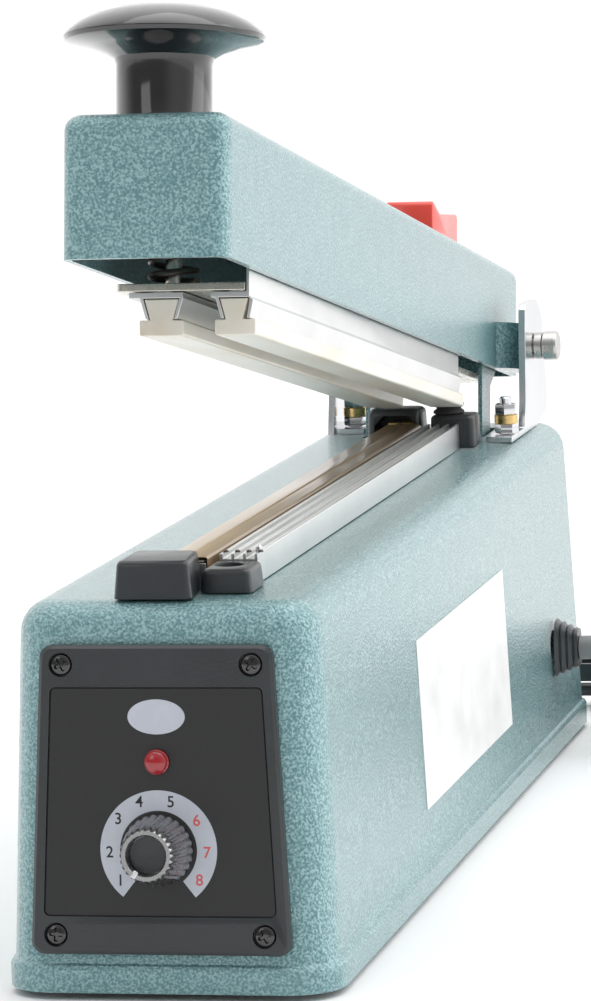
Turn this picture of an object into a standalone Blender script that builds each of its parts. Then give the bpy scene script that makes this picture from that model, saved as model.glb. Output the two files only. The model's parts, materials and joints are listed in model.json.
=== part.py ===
"""Impulse heat sealer with a built-in cutter, 300 mm sealing length.

Every size here is in millimetres and becomes metres once, in make(). Fixed pieces are placed in the
machine frame: X to the right, Y back from the foot of the front face, Z up from the skirt's lower
edge. Pieces on the arm are placed in the arm frame, whose origin is the hinge axis and whose axes
are the machine's when the arm is shut.
"""

import math

import bmesh
import bpy
from mathutils import Matrix, Vector

MM = 0.001
GAP = 0.3  # clearance kept between pieces that touch

# ---------------------------------------------------------------- driving dimensions
FOOT_RISE = 2.0  # skirt's lower edge above the table
MACHINE_MID_Y = 212.7  # middle of the whole machine, measured back from the front face

BODY_LENGTH = 429.5
BODY_HEIGHT = 104.5
BODY_HALF_FOOT = 45.1
BODY_HALF_SHOULDER = 42.0
BODY_WALL = 2.5
SHOULDER_RADIUS = 9.0
CORNER_RADIUS = 12.5
SKIRT_HEIGHT = 7.9
SKIRT_STEP = 1.5
FRONT_LEAN = 7.6  # how far the front face leans back by the shoulder
REAR_LEAN = 3.8
DECK_Z = BODY_HEIGHT + GAP

PIVOT_Y = 407.0
PIVOT_Z = 132.0
ARM_OPEN_DEG = 10.3
ARM_HALF_WIDTH = 22.9
ARM_FRONT = -407.3
ARM_REAR = 30.0
ARM_LOWER_FRONT = -7.3
ARM_LOWER_REAR = -8.3
ARM_TOP_FRONT = 31.7
ARM_TOP_REAR = 28.7
ARM_WALL = 2.0
PIN_RADIUS = 3.0
PIN_HOLE = PIN_RADIUS + GAP

SEAL_FRONT = 37.3
RAIL_FRONT = 43.0
SEAL_REAR = 342.5
SEAL_TOP = 113.0
PRESS_FRONT = -369.6
PRESS_REAR = -66.0
PRESS_FACE = -25.0  # underside of the silicone in the arm frame
BLADE_X = 7.5
CUTTER_TRAVEL = 315.0
BRACKET_BOLTS = {1: (30.6, 367.0), -1: (-26.6, 394.0)}
SWITCH_SWING_DEG = 13.0  # how far the leaf hangs forward before the arm pushes it home

PANEL_X = -1.1
PANEL_LOW = 10.7
PANEL_HIGH = 94.0
PANEL_HALF_LOW = 36.0
PANEL_HALF_HIGH = 32.0
DIAL_UP = 39.0
LAMP_UP = 62.7
PANEL_SCREWS = [(-26.2, 88.8), (26.2, 88.8), (-28.9, 16.0), (28.7, 16.0)]
HANDLE_X = 0.6
HANDLE_Y = -387.3

CORD_RADIUS = 4.0
CORD_EXIT = Vector((53.3, 368.0, 34.0))
COIL_CENTRE = Vector((112.0, 414.0))
COIL_RADIUS = 42.0
CORD_OUTER_TURN = 46.1
PLUG_REAR_X = 76.0
COIL_HALF_WIDTH = 8.6
COIL_HEIGHT = 24.8


# ---------------------------------------------------------------- scene, materials, placing
def clear_scene():
    for thing in list(bpy.data.objects):
        bpy.data.objects.remove(thing, do_unlink=True)


def material(name, colour, roughness, metallic=0.0):
    found = bpy.data.materials.new(name)
    found.use_nodes = True
    shader = found.node_tree.nodes["Principled BSDF"]
    shader.inputs["Base Color"].default_value = (*colour, 1.0)
    shader.inputs["Roughness"].default_value = roughness
    shader.inputs["Metallic"].default_value = metallic
    return found


def empty(name, place, parent=None, turn_x_deg=0.0):
    spot = bpy.data.objects.new(name, None)
    bpy.context.collection.objects.link(spot)
    spot.parent = parent
    spot.location = Vector(place) * MM
    spot.rotation_euler = (math.radians(turn_x_deg), 0.0, 0.0)
    return spot


def make(name, bm, finish, parent, place=(0.0, 0.0, 0.0), smooth=True):
    """Turn a bmesh in millimetres into a named object at place in its parent's frame."""
    bmesh.ops.remove_doubles(bm, verts=bm.verts, dist=0.0005)
    bmesh.ops.recalc_face_normals(bm, faces=bm.faces)
    bmesh.ops.scale(bm, vec=(MM, MM, MM), verts=bm.verts)
    mesh = bpy.data.meshes.new(name)
    bm.to_mesh(mesh)
    bm.free()
    if smooth:
        mesh.shade_smooth()
        mesh.set_sharp_from_angle(angle=math.radians(35.0))
    mesh.materials.append(finish)
    thing = bpy.data.objects.new(name, mesh)
    bpy.context.collection.objects.link(thing)
    thing.parent = parent
    thing.location = Vector(place) * MM
    return thing


def combine(thing, operation, bm, name):
    """Cut or join a helper solid, given in millimetres in the thing's own frame."""
    bmesh.ops.recalc_face_normals(bm, faces=bm.faces)
    bmesh.ops.scale(bm, vec=(MM, MM, MM), verts=bm.verts)
    mesh = bpy.data.meshes.new(name)
    bm.to_mesh(mesh)
    bm.free()
    tool = bpy.data.objects.new(name, mesh)
    bpy.context.collection.objects.link(tool)
    tool.parent = thing
    tool.hide_render = True
    tool.display_type = "WIRE"
    step = thing.modifiers.new(name, "BOOLEAN")
    step.operation = operation
    step.solver = "EXACT"
    step.object = tool


def cut(thing, bm, name):
    combine(thing, "DIFFERENCE", bm, name)


def join(thing, bm, name):
    combine(thing, "UNION", bm, name)


# ---------------------------------------------------------------- shapes
def loft(rings, bm=None):
    """A closed solid through rings that all have the same number of points."""
    bm = bm or bmesh.new()
    loops = [[bm.verts.new(point) for point in ring] for ring in rings]
    count = len(loops[0])
    for low, high in zip(loops, loops[1:]):
        for i in range(count):
            j = (i + 1) % count
            bm.faces.new((low[i], low[j], high[j], high[i]))
    bm.faces.new(loops[0])
    bm.faces.new(loops[-1])
    return bm


def arc_points(centre_x, centre_y, radius, start_deg, end_deg, steps):
    points = []
    for i in range(steps + 1):
        angle = math.radians(start_deg + (end_deg - start_deg) * i / steps)
        points.append((centre_x + radius * math.cos(angle), centre_y + radius * math.sin(angle)))
    return points


def rounded_rectangle(x0, x1, y0, y1, radius, steps=5, rear_radius=None):
    r = max(radius, 0.05)
    b = r if rear_radius is None else max(rear_radius, 0.05)
    points = arc_points(x1 - r, y0 + r, r, -90, 0, steps)
    points += arc_points(x1 - b, y1 - b, b, 0, 90, steps)
    points += arc_points(x0 + b, y1 - b, b, 90, 180, steps)
    points += arc_points(x0 + r, y0 + r, r, 180, 270, steps)
    return points


def prism(outline, axis, low, high, bm=None):
    """Extrude a 2-D outline along X, Y or Z; the outline's two numbers are the other two axes in order."""

    def at(point, along):
        u, v = point
        return {"X": (along, u, v), "Y": (u, along, v), "Z": (u, v, along)}[axis]

    return loft([[at(p, low) for p in outline], [at(p, high) for p in outline]], bm)


def box(x0, x1, y0, y1, z0, z1, bm=None):
    return prism([(x0, y0), (x1, y0), (x1, y1), (x0, y1)], "Z", z0, z1, bm)


def soft_box(x0, x1, y0, y1, z0, z1, radius, top_inset=0.0, edge=1.0, steps=4, taper=0.0):
    """A block with round upright corners, sides that may slope in, and a rounded top edge.

    taper draws the right-hand side in by that much towards the back.
    """
    rings = [(x0, x1, y0, y1, radius, z0)]
    for i in range(4):
        angle = math.radians(30.0 * i)
        inset = top_inset + edge * (1.0 - math.cos(angle))
        height = z1 - edge + edge * math.sin(angle)
        rings.append((x0 + inset, x1 - inset, y0 + inset, y1 - inset, radius - inset * 0.5, height))

    def shaped(x, y):
        return x - taper * (y - y0) / (y1 - y0) * (x - x0) / (x1 - x0), y

    return loft([
        [(*shaped(x, y), z) for x, y in rounded_rectangle(a, b, c, d, r, steps)] for a, b, c, d, r, z in rings
    ])


def turned(profile, sides=24, axis="Z", centre=(0.0, 0.0, 0.0), bm=None, closed_ring=False):
    """Turn (radius, height) points about an axis. A ring closes on itself, a solid is capped."""
    bm = bm or bmesh.new()
    loops = []
    for radius, height in profile:
        loop = []
        for i in range(sides):
            angle = 2.0 * math.pi * i / sides
            u = radius * math.cos(angle)
            v = radius * math.sin(angle)
            point = {"X": (height, u, v), "Y": (u, height, v), "Z": (u, v, height)}[axis]
            loop.append(bm.verts.new(Vector(point) + Vector(centre)))
        loops.append(loop)
    pairs = list(zip(loops, loops[1:]))
    if closed_ring:
        pairs.append((loops[-1], loops[0]))
    for low, high in pairs:
        for i in range(sides):
            j = (i + 1) % sides
            bm.faces.new((low[i], low[j], high[j], high[i]))
    if not closed_ring:
        bm.faces.new(loops[0])
        bm.faces.new(loops[-1])
    return bm


def rod(radius, low, high, axis="Z", centre=(0.0, 0.0, 0.0), sides=20, bm=None):
    return turned([(radius, low), (radius, high)], sides, axis, centre, bm)


def ring(inner, outer, low, high, axis="Z", centre=(0.0, 0.0, 0.0), sides=20):
    profile = [(inner, low), (outer, low), (outer, high), (inner, high)]
    return turned(profile, sides, axis, centre, closed_ring=True)


def shell_rings(sections):
    """Rings for a drafted shell from (half width, front, back, front and rear corner radii, height function)."""
    rings = []
    for half, front, back, (radius, rear_radius), height in sections:
        outline = rounded_rectangle(-half, half, front, back, radius, 5, rear_radius)
        rings.append([(x, y, height(y)) for x, y in outline])
    return rings


def open_shell(name, sections, wall, finish, parent):
    """A shell with an open underside: lofted skin, closed on top, thickened inwards."""
    bm = loft(shell_rings(sections))
    bmesh.ops.recalc_face_normals(bm, faces=bm.faces)
    bm.faces.ensure_lookup_table()
    lowest = min(bm.faces, key=lambda face: sum(v.co.z for v in face.verts) / len(face.verts))
    bmesh.ops.delete(bm, geom=[lowest], context="FACES_ONLY")
    bmesh.ops.scale(bm, vec=(MM, MM, MM), verts=bm.verts)
    mesh = bpy.data.meshes.new(name)
    bm.to_mesh(mesh)
    bm.free()
    mesh.shade_smooth()
    mesh.set_sharp_from_angle(angle=math.radians(35.0))
    mesh.materials.append(finish)
    thing = bpy.data.objects.new(name, mesh)
    bpy.context.collection.objects.link(thing)
    thing.parent = parent
    thicken = thing.modifiers.new("wall", "SOLIDIFY")
    thicken.thickness = wall * MM
    thicken.offset = -1.0
    thicken.use_even_offset = True
    return thing


# ---------------------------------------------------------------- the base
def base_sections():
    def flat(height):
        return lambda y: height

    half_top = BODY_HALF_SHOULDER
    shoulder_z = BODY_HEIGHT - SHOULDER_RADIUS
    step = SKIRT_STEP
    body_r = CORNER_RADIUS
    sections = [
        (BODY_HALF_FOOT + step, -step, BODY_LENGTH + step, (body_r + step, None), flat(0.0)),
        (BODY_HALF_FOOT + step, -step, BODY_LENGTH + step, (body_r + step, None), flat(SKIRT_HEIGHT - 1.6)),
        (BODY_HALF_FOOT + 0.9, -0.9, BODY_LENGTH + 0.9, (body_r + 0.9, None), flat(SKIRT_HEIGHT - 0.5)),
        (BODY_HALF_FOOT, 0.0, BODY_LENGTH, (body_r, None), flat(SKIRT_HEIGHT)),
    ]
    for i in range(7):
        angle = math.radians(15.0 * i)
        inset = SHOULDER_RADIUS * (1.0 - math.cos(angle))
        height = shoulder_z + SHOULDER_RADIUS * math.sin(angle)
        sections.append((
            half_top - inset,
            FRONT_LEAN + inset,
            BODY_LENGTH - REAR_LEAN - inset,
            (body_r - inset, None),
            flat(height),
        ))
    return sections


def build_base(machine, face, paint, steel, rubber):
    housing = open_shell("base_housing", base_sections(), BODY_WALL, paint, machine)
    for side in (-1, 1):
        inner, outer = sorted((side * 17.6, side * 21.1))
        cut(housing, box(inner, outer, 377.0, 403.0, 98.0, 108.0), f"lever_slot_{side}")
        hole_x, hole_y = BRACKET_BOLTS[side]
        cut(housing, rod(2.3, 98.0, 108.0, centre=(hole_x, hole_y, 0.0)), f"bolt_hole_{side}")
    holes = bmesh.new()
    for radius, up in ((5.0, DIAL_UP), (3.4, LAMP_UP)):
        rod(radius, -6.0, 8.0, "Y", (0.0, 0.0, up), 20, holes)
    for x, up in PANEL_SCREWS:
        rod(1.9, -6.0, 8.0, "Y", (x, 0.0, up), 12, holes)
    lean = Matrix.Translation(face.location / MM) @ Matrix.Rotation(face.rotation_euler.x, 4, "X")
    bmesh.ops.transform(holes, matrix=lean, verts=holes.verts)
    cut(housing, holes, "panel_holes")
    cut(housing, rod(6.0, 38.0, 50.0, "X", (0.0, CORD_EXIT.y, CORD_EXIT.z)), "cord_hole")

    plate = prism(rounded_rectangle(-43.6, 43.6, 1.6, 427.9, 10.0), "Z", 1.0, 2.5)
    make("bottom_plate", plate, steel, machine)
    corners = {"front_left": (-34, 24), "front_right": (34, 24), "rear_left": (-34, 406),
               "rear_right": (34, 406)}
    for corner, (x, y) in corners.items():
        profile = [(6.0, -FOOT_RISE), (7.0, -FOOT_RISE + 0.6), (7.5, 0.7)]
        make(f"foot_{corner}", turned(profile, 16), rubber, machine, (x, y, 0.0))


# ---------------------------------------------------------------- control panel
def panel_outline(half_low, half_high, low, high, radius):
    """A trapezoid, wider at the foot, with rounded corners."""
    slope = (half_low - half_high) / (high - low)
    points = []
    for x, up, start in ((1, low, -90), (1, high, 0), (-1, high, 90), (-1, low, 180)):
        middle_up = up + radius if up == low else up - radius
        half = half_low - slope * (middle_up - low) - radius
        points += arc_points(x * half, middle_up, radius, start, start + 90, 4)
    return points


def build_panel(face, black, label, screw_steel, red):
    outer = [(x, y) for x, y in panel_outline(PANEL_HALF_LOW, PANEL_HALF_HIGH, PANEL_LOW, PANEL_HIGH, 3.4)]
    inner = panel_outline(PANEL_HALF_LOW - 0.9, PANEL_HALF_HIGH - 0.9, PANEL_LOW + 0.9, PANEL_HIGH - 0.9, 2.9)
    rings = [
        [(x, -GAP, up) for x, up in outer],
        [(x, -2.2, up) for x, up in outer],
        [(x, -3.0, up) for x, up in inner],
    ]
    panel = make("front_panel", loft(rings), black, face)
    pocket = panel_outline(32.2, 29.3, 21.0, 82.8, 1.6)
    cut(panel, prism(pocket, "Y", -4.0, -2.1), "label_pocket")
    screw_holes = bmesh.new()
    for x, up in PANEL_SCREWS:
        rod(3.3, -4.0, -1.5, "Y", (x, 0.0, up), 20, screw_holes)
    cut(panel, screw_holes, "screw_recesses")
    through = bmesh.new()
    for x, up in PANEL_SCREWS:
        rod(1.9, -5.0, 1.0, "Y", (x, 0.0, up), 12, through)
    rod(4.2, -5.0, 1.0, "Y", (0.0, 0.0, DIAL_UP), 20, through)
    rod(3.4, -5.0, 1.0, "Y", (0.0, 0.0, LAMP_UP), 20, through)
    cut(panel, through, "through_holes")

    legend = make("legend_plate", prism(panel_outline(31.9, 29.0, 21.3, 82.5, 1.3), "Y", -2.8, -2.4), label, face)
    legend_holes = rod(4.2, -5.0, 1.0, "Y", (0.0, 0.0, DIAL_UP))
    rod(3.4, -5.0, 1.0, "Y", (0.0, 0.0, LAMP_UP), 20, legend_holes)
    cut(legend, legend_holes, "legend_holes")

    for number, (x, up) in enumerate(PANEL_SCREWS, 1):
        profile = [(0.4, -2.9), (1.9, -2.7), (2.7, -2.0), (2.9, -1.8), (1.6, -1.8), (1.6, 7.0)]
        make(f"panel_screw_{number}", turned(profile, 16, "Y"), screw_steel, face, (x, 0.0, up))

    lens = [(0.3, -5.6), (1.6, -5.2), (2.6, -4.4), (3.05, -3.3), (3.05, 6.0), (1.2, 6.0), (1.2, 10.0)]
    make("pilot_lamp", turned(lens, 20, "Y"), red, face, (0.0, 0.0, LAMP_UP))


def build_timer(face, knob_metal, steel, black, board_green):
    """Knurled hollow-faced knob on the timer's shaft, and the timer and board behind the wall."""
    ridges = 26
    steps = ridges * 2
    rings = []
    for radius, depth, knurl in ((9.0, -3.4, 0.35), (9.4, -4.4, 0.35), (6.9, -16.6, 0.3), (6.5, -17.2, 0.0)):
        loop = []
        for i in range(steps):
            angle = 2.0 * math.pi * i / steps
            r = radius + (knurl if i % 2 else 0.0)
            loop.append((r * math.cos(angle), depth, r * math.sin(angle)))
        rings.append(loop)
    knob = make("timer_knob", loft(rings), knob_metal, face, (0.0, 0.0, DIAL_UP))
    cut(knob, rod(5.4, -20.0, -13.6, "Y"), "hollow_face")
    cut(knob, rod(PIN_HOLE, -11.5, -2.0, "Y"), "shaft_bore")
    pointer = box(-0.7, 0.7, -17.6, -14.5, -6.6, -4.9)
    bmesh.ops.rotate(pointer, cent=(0, 0, 0), matrix=Matrix.Rotation(math.radians(32.0), 3, "Y"), verts=pointer.verts)
    join(knob, pointer, "pointer")
    make("timer_shaft", rod(PIN_RADIUS, -11.2, 9.0, "Y"), steel, face, (0.0, 0.0, DIAL_UP))
    timer = make("timer_body", turned([(9.0, 2.9), (9.0, 13.0), (8.2, 13.6)], 20, "Y"), black, face, (0, 0, DIAL_UP))
    cut(timer, rod(PIN_HOLE, 1.0, 9.5, "Y"), "timer_bore")
    make("circuit_board", box(-28.0, 28.0, 14.0, 15.6, 16.0, 78.0), board_green, face)


# ---------------------------------------------------------------- electrics inside
def build_electrics(machine, iron, copper, black, steel):
    core_y, core_low = 190.0, 2.8
    core = make("transformer_core", box(-31.0, 31.0, -13.0, 13.0, 0.0, 52.0), iron, machine, (0, core_y, core_low))
    windows = box(-20.0, -10.0, -20.0, 20.0, 10.0, 42.0)
    box(10.0, 20.0, -20.0, 20.0, 10.0, 42.0, windows)
    cut(core, windows, "core_windows")
    coil = prism(rounded_rectangle(-19.6, 19.6, -23.0, 23.0, 4.0, 3), "Z", 10.4, 41.6)
    winding = make("transformer_coil", coil, copper, machine, (0, core_y, core_low))
    cut(winding, box(-10.3, 10.3, -13.3, 13.3, 5.0, 45.0), "coil_opening")

    switch = make("microswitch_body", box(-3.2, 3.2, 399.5, 419.0, 54.0, 74.0), black, machine)
    cut(switch, box(-2.3, 2.3, 398.0, 402.6, 68.0, 75.0), "leaf_slot")
    leaf = [(-2.3, -14.0), (-1.8, -14.0), (-1.8, -0.6), (0.8, -0.6), (0.8, 0.8), (-2.3, 0.8)]
    lever = make("microswitch_lever", prism(leaf, "X", -1.9, 1.9), steel, machine, (0.0, 400.6, 71.0), smooth=False)
    lever.rotation_euler = (math.radians(-SWITCH_SWING_DEG), 0.0, 0.0)
    spring = ring(3.6, 4.6, 300.0, 372.0, "Y", (0.0, 0.0, 66.0), 16)
    make("return_spring", spring, steel, machine)


# ---------------------------------------------------------------- sealing deck
def build_deck(machine, alloy, fibre, nichrome, ptfe, black, rubber, brass):
    length = (SEAL_FRONT, SEAL_REAR)
    make("sealing_bar", box(-4.9, 5.9, *length, DECK_Z, 111.2), alloy, machine)
    make("insulating_strip", box(-4.0, 5.2, *length, 111.5, 111.9), fibre, machine)
    make("heating_element", box(-1.1, 1.1, 32.0, 348.0, 112.2, 112.4), nichrome, machine)
    skin = 0.3
    left, right, foot = -5.5, 6.5, 105.4
    inner_top = SEAL_TOP - skin
    cover = [
        (left, foot), (left, SEAL_TOP - 0.6), (left + 0.6, SEAL_TOP), (-1.4, SEAL_TOP), (-1.0, SEAL_TOP + skin),
        (1.0, SEAL_TOP + skin), (1.4, SEAL_TOP), (right - 0.6, SEAL_TOP), (right, SEAL_TOP - 0.6), (right, foot),
        (right - skin, foot), (right - skin, inner_top), (1.4, inner_top), (1.0, SEAL_TOP), (-1.0, SEAL_TOP),
        (-1.4, inner_top), (left + skin, inner_top), (left + skin, foot),
    ]
    make("ptfe_cover", prism(cover, "Y", SEAL_FRONT, SEAL_REAR), ptfe, machine)

    floor_z = 111.6
    fin_half = 0.5
    fin_pitch = 3.26
    first_fin = 8.9
    outline = [(first_fin - fin_half, DECK_Z), (first_fin + 3 * fin_pitch + fin_half, DECK_Z)]
    for i in reversed(range(4)):
        centre = first_fin + fin_pitch * i
        outline += [(centre + fin_half, floor_z)] if i < 3 else []
        outline += [(centre + fin_half, SEAL_TOP), (centre - fin_half, SEAL_TOP)]
        outline += [(centre - fin_half, floor_z)] if i > 0 else []
    make("ribbed_rail", prism(outline, "Y", RAIL_FRONT, SEAL_REAR), alloy, machine)

    cover_front = soft_box(-14.6, 7.7, 13.3, 37.0, DECK_Z, 115.2, 2.4, 0.9, 1.5, taper=2.6)
    front = make("front_terminal_cover", cover_front, black, machine)
    cut(front, box(-11.0, 2.6, 16.5, 35.0, 100.0, 112.7), "cover_hollow")
    cut(front, box(-1.8, 1.8, 30.0, 42.0, 100.0, 112.7), "element_notch")
    make("element_clamp_front", soft_box(-6.0, 0.9, 18.0, 31.5, DECK_Z, 111.6, 0.6, 0.0, 0.5), brass, machine)

    cap = make("front_rail_cap", soft_box(6.9, 21.5, 24.2, 42.6, DECK_Z, 111.3, 2.2, 0.5, 1.3, taper=0.4), black, machine)
    cut(cap, rod(4.1, 106.5, 115.0, centre=(13.2, 34.2, 0.0)), "cap_screw_hole")

    cover_rear = soft_box(-12.2, 6.3, 343.0, 357.0, DECK_Z, 117.9, 2.2, 0.4, 2.0)
    rear = make("rear_terminal_cover", cover_rear, black, machine)
    arch = prism([(-9.5, 100.0), (-9.5, 112.5), (-6.5, 115.7), (1.6, 115.7), (4.0, 113.6), (4.0, 100.0)],
                 "Y", 340.0, 354.5)
    cut(rear, arch, "tunnel")
    make("element_clamp_rear", box(-6.0, 3.0, 348.4, 354.0, DECK_Z, 112.9), brass, machine)
    make("rear_rail_cap", soft_box(9.0, 24.2, 343.0, 356.5, DECK_Z, 115.6, 2.0, 0.3, 1.2), black, machine)
    waisted = [(5.2, 0.0), (5.2, 0.7), (4.1, 1.5), (4.1, 1.9), (5.2, 2.6), (5.2, 3.4), (3.5, 3.7)]
    make("rear_bumper", turned(waisted, 18), rubber, machine, (14.6, 349.6, 115.6 + GAP))


# ---------------------------------------------------------------- hinge
def build_hinge(machine, chrome, steel, dark):
    ear_inner, ear_outer = 31.8, 34.1
    ear = [(383.0, DECK_Z), (386.5, 116.0), (389.0, 140.0), (390.2, 146.0), (393.5, 147.9), (407.0, 147.9),
           (414.0, 146.8), (419.5, 144.0), (423.2, 139.5), (424.2, 132.0), (426.5, 123.0), (429.0, 114.0),
           (428.2, 110.0), (424.5, 107.4), (416.0, 106.0), (407.0, DECK_Z)]
    for name, side in (("right", 1), ("left", -1)):
        low, high = sorted((side * ear_inner, side * ear_outer))
        bracket = make(f"hinge_bracket_{name}", prism(ear, "X", low, high), chrome, machine)
        foot_low, foot_high = sorted((side * 25.3 if side > 0 else side * 21.9, side * ear_outer))
        foot = box(foot_low, foot_high, 357.5 if side > 0 else 385.5, 407.0, DECK_Z, 106.7)
        join(bracket, foot, f"bracket_foot_{name}")
        cut(bracket, rod(PIN_HOLE, 25.0, 40.0, "X", (0.0, PIVOT_Y, PIVOT_Z)) if side > 0
            else rod(PIN_HOLE, -40.0, -25.0, "X", (0.0, PIVOT_Y, PIVOT_Z)), f"pin_hole_{name}")
        hole_x, hole_y = BRACKET_BOLTS[side]
        cut(bracket, rod(2.3, 100.0, 110.0, centre=(hole_x, hole_y, 0.0)), f"foot_hole_{name}")
        bolt = [(1.6, 119.2), (2.2, 118.6), (2.2, 117.0), (3.5, 116.8), (3.8, 116.2), (3.8, 112.9), (3.3, 112.4),
                (3.8, 111.9), (3.8, 108.2), (4.2, 108.0), (4.2, 107.0), (2.0, 107.0), (2.0, 96.0)]
        make(f"bracket_bolt_{name}", turned(bolt, 12), dark, machine, (hole_x, hole_y, 0.0))

    pivot = (0.0, PIVOT_Y, PIVOT_Z)
    bolt = [(PIN_RADIUS, -40.9), (PIN_RADIUS, 37.2), (4.9, 37.2), (4.9, 41.7), (4.4, 42.4)]
    make("pivot_bolt", turned(bolt, 20, "X"), steel, machine, pivot)
    make("pivot_spacer", ring(PIN_HOLE, 4.5, ear_outer + GAP, 36.9, "X"), steel, machine, pivot)
    nut = make("pivot_nut", rod(5.8, -38.4, -ear_outer - GAP, "X", sides=6), steel, machine, pivot, smooth=False)
    cut(nut, rod(PIN_HOLE, -42.0, -30.0, "X"), "nut_bore")


# ---------------------------------------------------------------- the arm
def arm_top(y):
    share = (y - ARM_FRONT) / (ARM_REAR - ARM_FRONT)
    return ARM_TOP_FRONT + (ARM_TOP_REAR - ARM_TOP_FRONT) * share


def arm_lower(y):
    share = (y - ARM_FRONT) / -ARM_FRONT
    return ARM_LOWER_FRONT + (ARM_LOWER_REAR - ARM_LOWER_FRONT) * min(share, 1.0)


def build_arm(arm, paint, bakelite, steel):
    edge = 4.2
    sections = []
    for inset, drop in [(0.0, None)] + [
        (edge * (1.0 - math.cos(math.radians(18.0 * i))), edge * (1.0 - math.sin(math.radians(18.0 * i))))
        for i in range(6)
    ]:
        height = arm_lower if drop is None else (lambda y, d=drop: arm_top(y) - d)
        radii = (5.0 - inset * 0.7, 3.6 - inset * 0.5)
        sections.append((ARM_HALF_WIDTH - inset, ARM_FRONT + inset, ARM_REAR - inset, radii, height))
    shell = open_shell("arm_shell", sections, ARM_WALL, paint, arm)
    for side in (-1, 1):
        boss = [(side * 21.6, -12.5), (side * 23.4, -12.5), (side * 27.0, -10.6), (side * 30.0, -6.6),
                (side * 31.3, -2.0), (side * 31.3, 12.0), (side * 21.6, 12.0)]
        join(shell, prism(boss, "Z", ARM_LOWER_REAR, 7.3), f"pivot_boss_{side}")
    cut(shell, rod(PIN_HOLE, -35.0, 35.0, "X"), "pivot_holes")
    cut(shell, box(4.7, 7.7, -356.0, -8.0, 20.0, 40.0), "cutter_slot")
    cut(shell, rod(2.8, 20.0, 40.0, centre=(HANDLE_X, HANDLE_Y, 0.0)), "handle_hole")

    plate = [(-22.5, -73.0), (-7.5, -73.0), (-7.5, -14.0), (7.0, -6.0), (7.0, 9.0), (-22.5, 9.0)]
    lever = make("return_lever", prism(plate, "X", 18.6, 20.1), paint, arm)
    join(lever, prism(plate, "X", -20.1, -18.6), "left_plate")
    join(lever, box(-19.5, 19.5, -21.5, -9.0, -73.0, -71.4), "cross_bar")
    cut(lever, rod(PIN_HOLE, -25.0, 25.0, "X"), "lever_holes")

    top = arm_top(HANDLE_Y + 13.0) + GAP
    profile = [(13.2, top), (13.0, top + 1.0), (13.0, 46.5), (13.6, 48.2), (16.0, 49.6), (20.5, 51.2), (25.2, 52.2),
               (26.8, 52.9), (27.4, 54.0), (26.9, 55.0), (24.2, 57.4), (20.5, 59.5), (15.0, 61.3), (8.0, 62.4),
               (0.4, 62.8)]
    knob = make("handle_knob", turned(profile, 32), bakelite, arm, (HANDLE_X, HANDLE_Y, 0.0))
    cut(knob, rod(2.8, top - 5.0, 45.0), "handle_thread")
    screw = [(4.6, 25.3), (4.8, 28.6), (2.5, 28.6), (2.5, 44.0)]
    make("handle_screw", turned(screw, 16), steel, arm, (HANDLE_X, HANDLE_Y, 0.0))


# ---------------------------------------------------------------- press assembly
def build_press(arm, zinc, alloy, silicone, steel):
    frame_low, frame_high = -12.8, -10.6
    frame = make("press_frame", prism(rounded_rectangle(-17.4, 17.8, PRESS_FRONT, -5.0, 2.0, 3), "Z",
                                      frame_low, frame_high), zinc, arm)
    join(frame, box(14.0, 18.9, PRESS_FRONT, -346.0, frame_low, frame_high), "front_corner")
    cut(frame, box(4.2, 9.0, -352.5, -10.5, -20.0, 0.0), "cutter_way")
    for name, y in (("front", -361.0), ("rear", -60.0)):
        join(frame, rod(2.4, frame_low + 0.5, 14.0, centre=(-3.0, y, 0.0), sides=14), f"spring_post_{name}")
        coil = ring(6.2, 7.5, frame_high + GAP, 26.0, centre=(-3.0, y, 0.0))
        make(f"press_spring_{name}", coil, steel, arm)

    length = (PRESS_FRONT, PRESS_REAR)
    bar_top, bar_under, bar_foot = -13.1, -14.7, -20.4
    left_bar = [(-13.6, bar_top), (1.6, bar_top), (1.6, bar_under), (0.0, bar_foot), (-0.9, bar_foot),
                (0.6, bar_under), (-9.7, bar_under), (-8.0, bar_foot), (-8.9, bar_foot), (-10.6, bar_under),
                (-13.6, bar_under)]
    make("press_bar_left", prism(left_bar, "Y", *length), alloy, arm)
    right_bar = [(9.3, bar_top), (19.2, bar_top), (19.2, -2.0), (20.1, -2.0), (20.1, bar_top - 1.2),
                 (21.2, bar_under - 0.7), (20.3, bar_foot), (19.4, bar_foot), (20.2, bar_under - 0.5),
                 (19.8, bar_under), (11.5, bar_under),
                 (13.1, bar_foot), (12.2, bar_foot), (10.6, bar_under), (9.3, bar_under)]
    make("press_bar_right", prism(right_bar, "Y", *length), alloy, arm)
    for name, left, right, neck_right in (("left", -10.6, 1.7, 0.35), ("right", 10.5, 21.9, 19.7)):
        neck_top = bar_under - GAP
        neck = 1.35
        taper = 1.6
        lip = bar_foot - GAP
        strip = [
            (left + neck, neck_top), (neck_right, neck_top), (neck_right - taper, lip), (right - 0.2, lip),
            (right, lip - 0.4), (right, PRESS_FACE + 0.4), (right - 0.4, PRESS_FACE), (left + 0.4, PRESS_FACE),
            (left, PRESS_FACE + 0.4), (left, lip - 0.4), (left + 0.2, lip), (left + neck + taper, lip),
        ]
        make(f"silicone_strip_{name}", prism(strip, "Y", *length), silicone, arm)


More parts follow.
